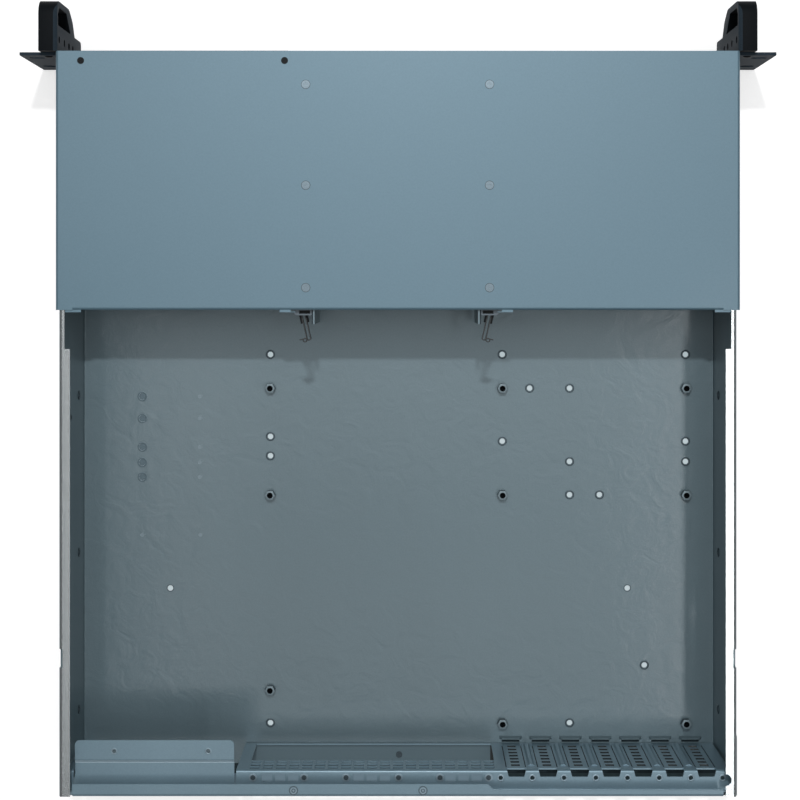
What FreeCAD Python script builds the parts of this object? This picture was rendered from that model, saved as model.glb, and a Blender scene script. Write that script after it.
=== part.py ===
import FreeCAD, Part
import math
import os

# Empty 2U, 19-inch rackmount server case. Millimetres.
# +X is to the right seen from the front, +Y runs from the front to the rear, +Z is up.
# The origin is the bottom centre of the whole case, handles included.

V = FreeCAD.Vector

# ---------------------------------------------------------------- driving dimensions

# rack standard
rack_unit = 44.45
units_high = 2
rack_relief = 0.8
ear_span = 482.6
rack_slot_inset = 8.75
rack_slot_length = 10.0
rack_slot_width = 7.0

# envelope of the case
ear_reach = 26.3
case_depth = 473.0
cover_below_handles = 0.6
handle_reach = 32.6

# sheet gauges and inner bend radius
tray_sheet = 1.2
rear_sheet = 1.0
cover_sheet = 1.0
panel_sheet = 1.2
plate_sheet = 1.2
cage_sheet = 1.0
panel_flange_depth = 12.0
ear_sheet = 2.0
bend_radius = 0.8

# clearances
slip_gap = 0.3
cover_side_gap = 1.0
corner_gap = 1.5
pin_clearance = 0.05

# the many small holes are drawn with this many flats around their true circle
small_hole_sides = 8

# tray
side_flange_width = 7.0
relieved_flange_width = 3.5
relief_beyond_cover = 24.7
notch_length = 12.0
notch_depth = 2.3
notch_height = 6.0
notch_from_rear = 81.6
rail_hole_radius = 1.7
rail_hole_height = 21.5
rail_hole_from_rear = 41.0
rail_hole_pitch = 105.0
rail_hole_count = 3
screw_access_radius = 3.6
screw_access_inset = 3.4

# motherboard hole grid; its datum is the left column and the front row
board_from_slots = 152.96
board_column_2 = 157.48
board_column_micro = 203.2
board_column_3 = 281.94
board_row_middle = 72.39
board_row_rear = 227.33
board_row_jog = 22.86
rear_row_to_wall = 13.4
standoff_height = 6.0
standoff_flats = 6.2
standoff_thread_radius = 1.25
standoff_thread_depth = 5.0

# holes for boards of other sizes, between the stand-offs
spare_hole_radius = 1.85
spare_front_step = 18.6
spare_left_rows = (32.8, 45.9)
spare_inner_row = 36.0
spare_outer_row = 49.8
spare_middle_step = 20.3
spare_corner_column = 254.0
spare_corner_step = 39.2

# holes for brackets beside the board
bracket_file_from_board = 87.0
bracket_rows = (5.6, 20.5, 39.9, 50.4, 60.3)
bracket_hole_radius = 2.4
floor_hole_radius = 1.95
floor_hole_from_wall = 59.8
floor_hole_row = 135.8

# rear panel
wall_inset = 14.0
shelf_drop = 12.5
top_flange_width = 8.0
io_width = 158.75
io_height = 44.45
io_sill = 4.9
io_edge_from_board = 9.0
grille_columns = 19
grille_rows = 3
grille_pitch_x = 8.4
grille_pitch_z = 7.0
grille_hole_width = 6.6
grille_hole_height = 5.2
grille_below_shelf = 20.1
shelf_window_inset = 2.4
psu_bay_width = 104.3

# expansion slots
slot_count = 7
slot_pitch = 20.32
slot_width = 12.5
slot_blank_bottom = 5.0
slot_cap = 5.0
slot_cut_line = 0.6
slot_vent_count = 7
slot_vent_width = 5.7
slot_vent_height = 4.4
slot_vent_first = 12.5
slot_vent_from_cap = 6.7
slot_screw_radius = 1.4
slot_screw_inset = 5.2
slot_notch_depth = 4.5
slot_notch_side = 0.3
slot_notch_taper = 1.6
flange_recess_depth = 3.6
flange_recess_lead = 8.4
rib_width = 4.4
rib_crown = 2.0
rib_proud = 1.0
foot_slot_width = 12.0
foot_slot_depth = 2.0
foot_lip_height = 1.6
foot_lip_crown = 0.6

# power supply hold-down plate
hold_plate_depth = 31.0
hold_plate_side_gap = 1.2
hold_plate_step = 1.2
hold_plate_lip = 13.5
hold_plate_tab = 9.0
hold_plate_hole_pitch = 60.2
hold_plate_hole_inset = 7.0
hold_plate_hole_shift = 4.2
hold_plate_hole_radius = 1.3
hold_plate_corner = 3.0

# front cover
cover_depth = 164.3
cover_skirt = 12.0
cover_rear_lip = 4.0
cover_tongue_width = 10.0
cover_tongue_reach = 1.4
cover_tongue_from_wall = 9.0
cover_tongue_from_cage = 5.0

# drive cage
cage_clear_width = 104.0
cage_centre_x = 1.0
cage_flange_width = 12.0
cage_web_overhang = 9.0
cage_window_length = 60.0
cage_window_height = 6.0
bay_cover_width = 101.6
bay_cover_depth = 8.0
bay_cover_wall = 2.0
bay_count = 3
bay_sill = 5.15
finger_groove_length = 60.0
finger_groove_width = 3.0

# latch levers
latch_bracket_sheet = 0.8
latch_bracket_width = 12.0
latch_hub_width = 6.4
latch_hub_tail = 2.2
latch_pin_radius = 1.0
latch_pin_from_web = 5.5
latch_pin_inset = 5.0
latch_offset = 1.4
latch_leg_gap = 1.6
latch_strip = 0.7
latch_length = 18.0
latch_height = 6.0
latch_lean = 13.0
latch_below_tray_top = 10.5
latch_hub_rise = 4.0
latch_hub_drop = 2.0
latch_foot = 4.4

# ears and handles
ear_leg = 40.0
ear_below_handle = 8.1
handle_thickness = 11.7
handle_base_depth = 16.7
handle_grip_height = 64.1
handle_knee_reach = 9.0
handle_knee_rise = 7.0
handle_chin_rise = 20.0
handle_top_rounding = 9.0
handle_bar = 4.2
handle_top_bar = 5.0
finger_heel_rise = 15.6
finger_toe_rise = 30.0
handle_side_gap = 1.1
handle_hole_radius = 2.4
handle_hole_inset = 8.0
handle_hole_depth = 3.5
handle_hole_drops = (57.1, 43.1, 27.1, 9.1)

# controls
control_from_wall = 65.0
power_from_middle = 28.0
reset_from_middle = 12.0
reset_drop = 7.0
lens_rise = 7.0
usb_from_middle = 14.0
power_button_width = 13.0
power_button_height = 9.0
power_button_travel = 1.2
reset_button_width = 6.0
reset_button_height = 3.5
reset_button_travel = 0.8
button_bore_depth = 7.0
button_crown = 0.5
lens_width = 4.0
lens_height = 2.0
lens_pitch = 8.0
lens_depth = 3.0
housing_left = 40.0
housing_width = 86.0
housing_height = 30.0
housing_depth = 12.0
usb_width = 13.1
usb_height = 5.7
usb_pitch = 19.0
usb_depth = 11.0
usb_shell = 0.4
side_vent_count = 7
side_vent_pitch = 12.0
side_vent_width = 3.6
side_vent_height = 12.0
side_vent_offset = 28.0

# intake grille
intake_from_cage = 4.8
intake_from_wall = 13.2
intake_sill = 6.0
intake_proud = 0.6
intake_border = 8.0
intake_slot_count = 14
intake_slot_margin = 8.6
intake_slot_width = 4.2
intake_slot_border = 9.75

# ---------------------------------------------------------------- derived positions

panel_height = units_high * rack_unit - rack_relief
ear_height = panel_height - ear_below_handle
case_height = panel_height - cover_below_handles
case_width = ear_span - 2.0 * ear_reach
front_y = (handle_reach - case_depth) / 2.0
rear_y = front_y + case_depth
half_width = case_width / 2.0
inner_half_width = half_width - tray_sheet
fitted_half_width = inner_half_width - bend_radius - slip_gap
flange_edge = half_width - side_flange_width
tray_top = case_height - cover_sheet
wall_y = rear_y - wall_inset
wall_rear_y = wall_y + rear_sheet
cover_rear_y = front_y + cover_depth
cover_half_width = half_width + cover_side_gap + cover_sheet
slot_row_start = slot_count * slot_pitch - flange_edge
shelf_height = tray_top - shelf_drop
slot_blank_top = shelf_height - slot_cap
board_x = slot_row_start + board_from_slots
board_y = wall_y - rear_row_to_wall - board_row_rear
io_edge = board_x + io_edge_from_board
rear_flange_half = flange_edge - corner_gap
psu_bay_end = flange_edge
psu_bay_start = psu_bay_end - psu_bay_width
cage_half = cage_clear_width / 2.0
cage_flange_half = cage_half + cage_flange_width
bay_cover_height = (tray_top - 2.0 * bay_sill) / bay_count
ear_half = ear_span / 2.0
intake_left = cage_centre_x + cage_flange_half + intake_from_cage
intake_right = half_width - intake_from_wall
intake_top = tray_top - intake_sill / 2.0
panel_back_y = front_y + panel_sheet
panel_flange_y = front_y + panel_flange_depth
control_x = control_from_wall - half_width
control_z = panel_height / 2.0
power_x = control_x - power_from_middle
reset_x = control_x - reset_from_middle
reset_z = control_z - reset_drop
lens_z = control_z + lens_rise
handle_left_x = half_width + handle_side_gap
latch_top = tray_top - latch_below_tray_top
latch_ear_y = cover_rear_y + 3.4


# ---------------------------------------------------------------- helpers

def box(x0, x1, y0, y1, z0, z1):
    """A block between two corners, given in any order along X."""
    low, high = min(x0, x1), max(x0, x1)
    return Part.makeBox(high - low, y1 - y0, z1 - z0, V(low, y0, z0))


def rod(radius, start, end):
    return Part.makeCylinder(radius, (end - start).Length, start, end - start)


def hole_z(x, y, radius, low, high):
    return rod(radius, V(x, y, low), V(x, y, high))


def hole_y(x, z, radius, near, far):
    return rod(radius, V(x, near, z), V(x, far, z))


def small_hole(axis, u, v, radius, start, end):
    """A small hole along the named axis, at (u, v) across it, whose flats touch the true circle."""
    corner = radius / math.cos(math.pi / small_hole_sides)
    turns = [2.0 * math.pi * (k + 0.5) / small_hole_sides for k in range(small_hole_sides)]
    outline = [(u + corner * math.cos(t), v + corner * math.sin(t)) for t in turns]
    return prism(outline, axis, start, end)


def window_y(x, z, width, height, near, far):
    """A rectangular window cut along Y, given by its centre."""
    return box(x - width / 2.0, x + width / 2.0, near, far, z - height / 2.0, z + height / 2.0)


def cut_all(shape, tools):
    return shape.cut(Part.makeCompound(tools))


def join_all(shape, pieces):
    return shape.fuse(pieces).removeSplitter()


def mirror_x(shape):
    return shape.mirror(V(0, 0, 0), V(1, 0, 0))


def on_axis(axis, along, u, v):
    if axis == "X":
        return V(along, u, v)
    if axis == "Y":
        return V(u, along, v)
    return V(u, v, along)


def prism(points, axis, start, end):
    """A prism over an outline of (u, v) points, extruded along the named axis."""
    corners = [on_axis(axis, start, u, v) for u, v in points]
    face = Part.Face(Part.makePolygon(corners + [corners[0]]))
    return face.extrude(on_axis(axis, end - start, 0.0, 0.0))


def unit(a, b):
    length = math.hypot(b[0] - a[0], b[1] - a[1])
    return ((b[0] - a[0]) / length, (b[1] - a[1]) / length)


def bent_edges(points, offset, thickness, radius):
    """Lines and arcs of one face of a bent strip, offset to the left of the given path."""
    heads = [unit(a, b) for a, b in zip(points[:-1], points[1:])]
    normals = [(-d[1], d[0]) for d in heads]
    last = (points[0][0] + normals[0][0] * offset, points[0][1] + normals[0][1] * offset)
    runs = []
    for i in range(1, len(points) - 1):
        d1, d2 = heads[i - 1], heads[i]
        n1, n2 = normals[i - 1], normals[i]
        spread = 1.0 + n1[0] * n2[0] + n1[1] * n2[1]
        corner = (points[i][0] + (n1[0] + n2[0]) * offset / spread,
                  points[i][1] + (n1[1] + n2[1]) * offset / spread)
        turn = math.atan2(d1[0] * d2[1] - d1[1] * d2[0], d1[0] * d2[0] + d1[1] * d2[1])
        right_side = offset < thickness - offset
        outside = right_side == (turn > 0)
        bend = radius + (abs(thickness) if outside else 0.0)
        back = bend * math.tan(abs(turn) / 2.0)
        start = (corner[0] - d1[0] * back, corner[1] - d1[1] * back)
        end = (corner[0] + d2[0] * back, corner[1] + d2[1] * back)
        inward = unit((0.0, 0.0), (d2[0] - d1[0], d2[1] - d1[1]))
        reach = bend / math.cos(turn / 2.0) - bend
        middle = (corner[0] + inward[0] * reach, corner[1] + inward[1] * reach)
        runs.append((last, start))
        runs.append((start, middle, end))
        last = end
    tip = (points[-1][0] + normals[-1][0] * offset, points[-1][1] + normals[-1][1] * offset)
    runs.append((last, tip))
    return runs


def bent_sheet(points, thickness, axis, start, end, radius=bend_radius):
    """A sheet bent along a path of (u, v) points with true bend radii, extruded along the axis.

    The path is one face of the sheet. A positive thickness lies to its left, a negative to its right."""
    near = bent_edges(points, 0.0, thickness, radius)
    far = bent_edges(points, thickness, thickness, radius)
    edges = []
    for run in near + far + [(near[0][0], far[0][0]), (near[-1][-1], far[-1][-1])]:
        spots = [on_axis(axis, start, *p) for p in run]
        if len(spots) == 3:
            edges.append(Part.Arc(*spots).toShape())
        elif (spots[1] - spots[0]).Length > 1e-6:
            edges.append(Part.makeLine(*spots))
    outline = Part.Wire(Part.__sortEdges__(edges))
    return Part.Face(outline).extrude(on_axis(axis, end - start, 0.0, 0.0))


def round_edges(shape, spots, radius):
    """Rounds the edges along X that pass through the given (y, z) spots."""
    edges = []
    for edge in shape.Edges:
        ends = [vertex.Point for vertex in edge.Vertexes]
        for y, z in spots:
            if all(abs(p.y - y) < 0.01 and abs(p.z - z) < 0.01 for p in ends):
                edges.append(edge)
    return shape.makeFillet(radius, edges)


def rounded_corner_cut(x, y, toward_x, radius, low, high):
    """What rounding takes off a square corner that opens towards +Y, as a tall prism."""
    far_x = x + toward_x * radius
    square = box(x, far_x, y, y + radius, low, high)
    return square.cut(hole_z(far_x, y + radius, radius, low, high))


def save(name, shape):
    shape.exportStep("parts/" + name + ".step")


# ---------------------------------------------------------------- tray

def board_spots():
    """Centres of the nine stand-offs."""
    spots = []
    for column in (0.0, board_column_2, board_column_3):
        for row in (0.0, board_row_middle, board_row_rear):
            jog = board_row_jog if column == 0.0 and row == board_row_rear else 0.0
            spots.append((board_x - column, board_y + row - jog))
    return spots


def spare_spots():
    """Centres of the holes for boards of other sizes."""
    micro = board_column_micro
    spots = [(column, -board_row_jog) for column in (0.0, board_column_2, board_column_3)]
    spots += [(board_column_2 + spare_front_step, 0.0), (micro, 0.0)]
    spots += [(0.0, row) for row in spare_left_rows]
    spots += [(column, spare_inner_row) for column in (board_column_2, board_column_3)]
    spots += [(column, spare_outer_row) for column in (micro, board_column_3)]
    spots += [(micro, board_row_middle), (micro + spare_middle_step, board_row_middle)]
    spots += [(0.0, board_row_rear), (micro, board_row_rear)]
    spots.append((spare_corner_column, board_row_rear - spare_corner_step))
    return [(board_x - column, board_y + row) for column, row in spots]


def bracket_spots():
    """A file of holes beside the board."""
    return [(board_x + bracket_file_from_board, board_y + row) for row in bracket_rows]


def floor_holes():
    low = -1.0
    high = tray_sheet + 1.0
    holes = [small_hole("Z", x, y, spare_hole_radius, low, high) for x, y in spare_spots()]
    holes += [small_hole("Z", x, y, bracket_hole_radius, low, high) for x, y in bracket_spots()]
    row_y = board_y + floor_hole_row
    holes += [small_hole("Z", side * (half_width - floor_hole_from_wall), row_y, floor_hole_radius, low, high)
              for side in (-1, 1)]
    return holes


def slot_centres():
    return [slot_row_start - slot_pitch * (k + 0.5) for k in range(slot_count)]


def foot_slot(x):
    """Slot in the floor for a bracket's foot, against the rear wall, with a lip raised ahead of it.

    Returns the lip, sloped on three sides, and the slot."""
    back = wall_y - slip_gap
    edge = back - foot_slot_depth
    front = edge - foot_lip_height - foot_lip_crown
    half = foot_slot_width / 2.0
    foot = half + foot_lip_height
    top = tray_sheet + foot_lip_height
    ramp = [(front, tray_sheet), (edge - foot_lip_crown, top), (edge, top), (edge, tray_sheet)]
    lip = prism(ramp, "X", x - foot, x + foot)
    crown = [(x - foot, tray_sheet), (x - half, top), (x + half, top), (x + foot, tray_sheet)]
    lip = lip.common(prism(crown, "Y", front - 1.0, edge + 1.0))
    return lip, box(x - half, x + half, edge, back, -1.0, top)


def side_wall_cuts(side):
    """Relief of the top flange under the cover, catch notch and rail holes of one side wall."""
    beyond = side * (half_width + 1.0)
    inner = side * (flange_edge - 1.0)
    flange_low = tray_top - tray_sheet - 0.1
    relief_end = cover_rear_y + relief_beyond_cover
    cuts = [box(inner, side * (half_width - relieved_flange_width), front_y - 1.0, relief_end,
                flange_low, tray_top + 1.0)]
    cuts.append(box(inner, side * inner_half_width, front_y - 1.0, panel_flange_y + slip_gap,
                    tray_top - tray_sheet - bend_radius, tray_top + 1.0))
    notch_y = rear_y - notch_from_rear - notch_length
    cuts.append(box(side * (half_width - notch_depth), beyond, notch_y, notch_y + notch_length,
                    tray_top - notch_height, tray_top + 1.0))
    for k in range(rail_hole_count):
        y = rear_y - rail_hole_from_rear - rail_hole_pitch * k
        inside = side * (inner_half_width - 1.0)
        cuts.append(small_hole("X", y, rail_hole_height, rail_hole_radius, inside, beyond))
    return cuts


def chassis_tray():
    path = [(-flange_edge, tray_top), (-half_width, tray_top), (-half_width, 0.0),
            (half_width, 0.0), (half_width, tray_top), (flange_edge, tray_top)]
    tray = bent_sheet(path, tray_sheet, "Y", front_y, rear_y)
    feet = [foot_slot(x) for x in slot_centres()]
    tray = join_all(tray, [lip for lip, slot in feet])
    cuts = [slot for lip, slot in feet]
    cuts += side_wall_cuts(-1) + side_wall_cuts(1) + floor_holes()
    last_screw_x = slot_row_start - slot_pitch * slot_count
    cuts.append(small_hole("Z", last_screw_x, wall_y + screw_access_inset, screw_access_radius,
                           tray_top - tray_sheet - 0.1, tray_top + 1.0))
    return cut_all(tray, cuts)


def standoff(x, y):
    base = tray_sheet
    corner = standoff_flats / math.sqrt(3.0)
    angles = [math.radians(60.0 * k) for k in range(6)]
    outline = [(x + corner * math.cos(a), y + corner * math.sin(a)) for a in angles]
    body = prism(outline, "Z", base, base + standoff_height)
    top = base + standoff_height
    return body.cut(hole_z(x, y, standoff_thread_radius, top - standoff_thread_depth, top + 1.0))


def standoffs():
    return Part.makeCompound([standoff(x, y) for x, y in board_spots()])


# ---------------------------------------------------------------- rear panel

def grille_start():
    """Outer edge of the first grille column; the grille is centred over the aperture."""
    return io_edge + (grille_columns * grille_pitch_x - io_width) / 2.0


def grille_holes():
    holes = []
    for column in range(grille_columns):
        x = grille_start() - grille_pitch_x * (column + 0.5)
        for row in range(grille_rows):
            z = shelf_height - grille_below_shelf + grille_pitch_z * row
            holes.append(window_y(x, z, grille_hole_width, grille_hole_height, wall_y - 1.0,
                                  wall_rear_y + 1.0))
    return holes


def shelf_windows():
    """Three groups of three windows in the shelf, in line with the grille columns."""
    cuts = []
    half = grille_hole_width / 2.0
    near = wall_y + shelf_window_inset
    for first in (1, 8, 15):
        for k in range(3):
            x = grille_start() - grille_pitch_x * (first + k + 0.5)
            cuts.append(box(x - half, x + half, near, near + grille_hole_height,
                            shelf_height - 3.0, shelf_height + 1.0))
    return cuts


def slot_cuts():
    """Cut lines, vents, shelf notches and screw holes of the knock-out slot blanks."""
    cuts = []
    near = wall_y - 3.0
    far = wall_rear_y + 1.0
    middle = (slot_blank_bottom + slot_blank_top) / 2.0
    length = slot_blank_top - slot_blank_bottom - 4.0
    vent_pitch = (slot_blank_top - slot_vent_from_cap - slot_vent_first) / (slot_vent_count - 1)
    for x in slot_centres():
        for side in (-1, 1):
            cuts.append(window_y(x + side * slot_width / 2.0, middle, slot_cut_line, length, near, far))
        for k in range(slot_vent_count):
            z = slot_vent_first + vent_pitch * k
            cuts.append(window_y(x, z, slot_vent_width, slot_vent_height, near, far))
        cuts.append(slot_notch(x))
    for k in range(slot_count + 1):
        x = slot_row_start - slot_pitch * k
        cuts.append(small_hole("Z", x, wall_y + slot_screw_inset, slot_screw_radius,
                               shelf_height - 3.0, shelf_height + 1.0))
    return cuts


def slot_notch(x):
    """Tapered notch in the shelf that lets a bracket's bent end drop in."""
    half = slot_width / 2.0 + slot_notch_side
    front = wall_y - 1.0
    back = wall_y + slot_notch_depth
    outline = [(x - half, front), (x + half, front), (x + half - slot_notch_taper, back),
               (x - half + slot_notch_taper, back)]
    return prism(outline, "Z", slot_blank_top + 0.6, shelf_height + 1.5)


def slot_ribs():
    """Stiffening ribs pressed forward between the slots."""
    ribs = []
    low = slot_blank_bottom + 2.0
    high = slot_blank_top - 5.0
    for k in range(1, slot_count):
        x = slot_row_start - slot_pitch * k
        foot = rib_width / 2.0
        crown = rib_crown / 2.0
        outline = [(x - foot, wall_y), (x - crown, wall_y - rib_proud), (x + crown, wall_y - rib_proud),
                   (x + foot, wall_y), (x + foot, wall_y + 0.5), (x - foot, wall_y + 0.5)]
        ribs.append(prism(outline, "Z", low, high))
    return ribs


def flange_recess():
    """The top flange is narrower over the slots, so that their screws can be reached."""
    start = slot_row_start + flange_recess_lead
    depth = flange_recess_depth
    front = rear_y - top_flange_width
    end = -(half_width + 1.0)
    outline = [(start, front - 1.0), (start, front), (start - depth, front + depth), (end, front + depth),
               (end, front - 1.0)]
    return prism(outline, "Z", tray_top - 3.0, tray_top + 1.0)


def rear_panel():
    path = [(rear_y - top_flange_width, tray_top), (rear_y, tray_top), (rear_y, shelf_height - rear_sheet),
            (wall_rear_y, shelf_height - rear_sheet), (wall_rear_y, tray_sheet + rear_sheet),
            (rear_y - slip_gap, tray_sheet + rear_sheet)]
    panel = bent_sheet(path, -rear_sheet, "X", -fitted_half_width, fitted_half_width)
    panel = join_all(panel, slot_ribs())
    cuts = []
    for side in (-1, 1):
        cuts.append(box(side * rear_flange_half, side * half_width, wall_y - 1.0, rear_y + 1.0,
                        shelf_height + 1.0, tray_top + 1.0))
    cuts.append(box(psu_bay_start, psu_bay_end, wall_y - 1.0, rear_y + 1.0, -1.0, shelf_height + bend_radius))
    cuts.append(box(io_edge - io_width, io_edge, wall_y - 1.0, wall_rear_y + 1.0, io_sill,
                    io_sill + io_height))
    cuts += grille_holes() + shelf_windows() + slot_cuts()
    cuts.append(flange_recess())
    return cut_all(panel, cuts)


def psu_hold_down_plate():
    """Plate over the rear of the power supply: stepped lip with two threaded holes, upturned rear tab."""
    top = shelf_height
    back = rear_y - rear_sheet - plate_sheet
    front = back - hold_plate_depth
    step_y = front + hold_plate_lip
    half_step = hold_plate_step / 2.0
    path = [(front, top + hold_plate_step), (step_y - half_step, top + hold_plate_step),
            (step_y + half_step, top), (back, top), (back, top + hold_plate_tab)]
    left = psu_bay_start + hold_plate_side_gap
    right = psu_bay_end - hold_plate_side_gap
    plate = bent_sheet(path, -plate_sheet, "X", left, right, 0.4)
    low = top - 4.0
    high = top + 4.0
    cuts = [rounded_corner_cut(left, front, 1, hold_plate_corner, low, high),
            rounded_corner_cut(right, front, -1, hold_plate_corner, low, high)]
    middle = (left + right) / 2.0 - hold_plate_hole_shift
    for side in (-1, 1):
        x = middle + side * hold_plate_hole_pitch / 2.0
        cuts.append(small_hole("Z", x, front + hold_plate_hole_inset, hold_plate_hole_radius, low, high))
    return cut_all(plate, cuts)


# ---------------------------------------------------------------- front cover

def front_cover():
    low = case_height - cover_skirt
    path = [(-cover_half_width, low), (-cover_half_width, case_height), (cover_half_width, case_height),
            (cover_half_width, low)]
    cover = bent_sheet(path, -cover_sheet, "Y", front_y, cover_rear_y)
    edge = inner_half_width - relieved_flange_width - 4.0
    lip_start = cover_rear_y - cover_sheet - bend_radius
    cover = cover.cut(box(-edge, edge, lip_start, cover_rear_y + 1.0, tray_top - 1.0, case_height + 1.0))
    lip_path = [(lip_start, case_height), (cover_rear_y, case_height),
                (cover_rear_y, case_height - cover_rear_lip)]
    lip = bent_sheet(lip_path, -cover_sheet, "X", -edge, edge)
    beside_cage = cage_flange_half + cover_tongue_from_cage
    beside_wall = half_width - cover_tongue_from_wall
    spots = (-beside_wall, cage_centre_x - beside_cage, cage_centre_x + beside_cage, beside_wall)
    cover = join_all(cover, [lip] + [cover_tongue(x) for x in spots])
    cuts = [cage_mouth(side) for side in (-1, 1)]
    cuts += [box(side * (half_width + cover_side_gap / 4.0), side * (cover_half_width + 1.0), front_y - 1.0,
                 front_y + ear_sheet + slip_gap, low - 1.0, ear_height + slip_gap) for side in (-1, 1)]
    return cut_all(cover, cuts)


def cover_tongue(x):
    """Tongue one sheet below the cover, under which the loose rear lid slips."""
    half = cover_tongue_width / 2.0
    return box(x - half, x + half, cover_rear_y - 6.0, cover_rear_y + cover_tongue_reach,
               case_height - 2.2 * cover_sheet, case_height - cover_sheet)


def cage_mouth(side):
    """Gap in the rear lip for the end of a cage plate and its latch."""
    mouth = cage_centre_x + side * (cage_half - 1.0)
    far = cage_centre_x + side * (cage_flange_half + 3.0)
    return box(mouth, far, cover_rear_y - cover_sheet - bend_radius, cover_rear_y + 1.0,
               case_height - cover_rear_lip - 1.0, tray_top)


# ---------------------------------------------------------------- drive cage and latches

def cage_plate(side):
    """One side of the drive cage: web with drive windows, top and bottom flanges turned outward."""
    web = cage_centre_x + side * cage_half
    out = web + side * cage_flange_width
    path = [(out, tray_sheet), (web, tray_sheet), (web, tray_top), (out, tray_top)]
    start = panel_back_y + bend_radius + slip_gap
    end = cover_rear_y + cage_web_overhang
    plate = bent_sheet(path, -cage_sheet * side, "Y", start, end)
    back = cover_rear_y - cover_sheet - slip_gap
    cuts = [box(web + side * (cage_sheet + slip_gap), out + side, back, end + 1.0, 0.0, case_height),
            box(web - side, out, back, end + 1.0, 0.0, cage_flange_width),
            box(web - side, out, back, end + 1.0, tray_top - 3.0, case_height)]
    middle = start + cage_window_length
    for k in range(1, bay_count + 1):
        z = bay_sill + bay_cover_height * (k - 0.5)
        cuts.append(box(web - side, web + side * 3.0, middle - cage_window_length / 2.0,
                        middle + cage_window_length / 2.0, z - cage_window_height / 2.0,
                        z + cage_window_height / 2.0))
    return cut_all(plate, cuts)


def latch_pin_spot(side):
    x = cage_centre_x + side * (cage_half + cage_sheet + latch_pin_from_web)
    return x, cover_rear_y - latch_pin_inset


def latch_bracket(side):
    """C-shaped bracket on the outside of the web, whose two ears hold the hinge pin."""
    pin_x, pin_y = latch_pin_spot(side)
    web = cage_centre_x + side * (cage_half + cage_sheet)
    out = web + side * latch_bracket_width
    top = latch_top + latch_hub_rise + latch_bracket_sheet + slip_gap
    low = latch_top - latch_height - latch_hub_drop - latch_bracket_sheet - slip_gap
    path = [(out, low), (web, low), (web, top), (out, top)]
    end = cover_rear_y + cage_web_overhang
    bracket = bent_sheet(path, -latch_bracket_sheet * side, "Y", pin_y - 4.5, end, 0.4)
    inner = web + side * latch_bracket_sheet
    half = latch_hub_width / 2.0 + slip_gap
    cuts = [box(inner, out + side, latch_ear_y, end + 1.0, low - 1.0, top + 1.0),
            box(pin_x - half, pin_x + half, cover_rear_y + slip_gap, latch_ear_y - 1.0, top - 1.5, top + 1.0)]
    return cut_all(bracket, cuts)


def latch_pin(side):
    """Hinge pin between the bracket's ears."""
    x, y = latch_pin_spot(side)
    return hole_z(x, y, latch_pin_radius, latch_top - latch_height - latch_hub_drop - slip_gap,
                  latch_top + latch_hub_rise + slip_gap)


def latch_hub(side):
    """Moulded hub that turns on the pin and grips the spring strip."""
    x, y = latch_pin_spot(side)
    half = latch_hub_width / 2.0
    low = latch_top - latch_height - latch_hub_drop
    high = latch_top + latch_hub_rise
    block = box(x - half, x + half, y, cover_rear_y + latch_hub_tail, low, high)
    hub = join_all(block, [hole_z(x, y, half, low, high)])
    return hub.cut(hole_z(x, y, latch_pin_radius + pin_clearance, low - 1.0, high + 1.0))


def latch_lever(side):
    """Hairpin of spring strip that leans inward from the hub, with a turned-out finger foot."""
    pin_x, pin_y = latch_pin_spot(side)
    tail_y = cover_rear_y + latch_hub_tail
    half = latch_leg_gap / 2.0 + latch_strip
    lead = -2.0
    path = [(-half, lead), (-half, latch_length), (half, latch_length), (half, lead)]
    strip = bent_sheet(path, -latch_strip, "Z", 0.0, latch_height, latch_leg_gap / 2.0 - 0.02)
    foot_y = latch_length - half
    foot = box(side * (half - latch_strip), side * (half + latch_foot), foot_y - latch_strip, foot_y,
               0.8, latch_height - 0.8)
    lever = join_all(strip, [foot])
    lever.rotate(V(0, 0, 0), V(0, 0, 1), side * latch_lean)
    lever.translate(V(pin_x + side * latch_offset, tail_y, latch_top - latch_height))
    return lever.cut(box(pin_x - 12.0, pin_x + 12.0, tail_y - 6.0, tail_y, 0.0, case_height))


# ---------------------------------------------------------------- front panel group

def front_panel():
    """Folded front with the openings of the bays, the intake, the controls and two rows of vents."""
    path = [(panel_flange_y, tray_sheet), (front_y, tray_sheet), (front_y, tray_top),
            (panel_flange_y, tray_top)]
    panel = bent_sheet(path, -panel_sheet, "X", -fitted_half_width, fitted_half_width)
    near = front_y - 1.0
    far = panel_back_y + 0.5
    bay_half = bay_cover_width / 2.0 + slip_gap
    bay_top = bay_sill + bay_cover_height * bay_count
    cuts = [box(cage_centre_x - bay_half, cage_centre_x + bay_half, near, far, bay_sill - slip_gap,
                bay_top + slip_gap)]
    cuts.append(box(intake_left + intake_border, intake_right - intake_border, near, far,
                    intake_sill + intake_border, intake_top - intake_border))
    cuts += control_openings(near, far) + side_vents(near, far)
    for side in (-1, 1):
        web = cage_centre_x + side * (cage_half - slip_gap)
        out = cage_centre_x + side * (cage_flange_half + slip_gap)
        cuts.append(box(web, out, panel_back_y + bend_radius, panel_flange_y + 1.0, 0.0, case_height))
    return cut_all(panel, cuts)


def lens_places():
    return [reset_x + lens_pitch * k for k in range(3)]


def usb_places():
    return [control_x + usb_from_middle + usb_pitch * k for k in range(2)]


def button_bores(near, far):
    """Guides of the two buttons, a slip gap larger than each all round."""
    return [window_y(power_x, control_z, power_button_width + 2.0 * slip_gap,
                     power_button_height + 2.0 * slip_gap, near, far),
            window_y(reset_x, reset_z, reset_button_width + 2.0 * slip_gap,
                     reset_button_height + 2.0 * slip_gap, near, far)]


def control_openings(near, far):
    cuts = button_bores(near, far)
    cuts += [window_y(x, lens_z, lens_width, lens_height, near, far) for x in lens_places()]
    cuts += [window_y(x, control_z, usb_width, usb_height, near, far) for x in usb_places()]
    return cuts


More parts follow.
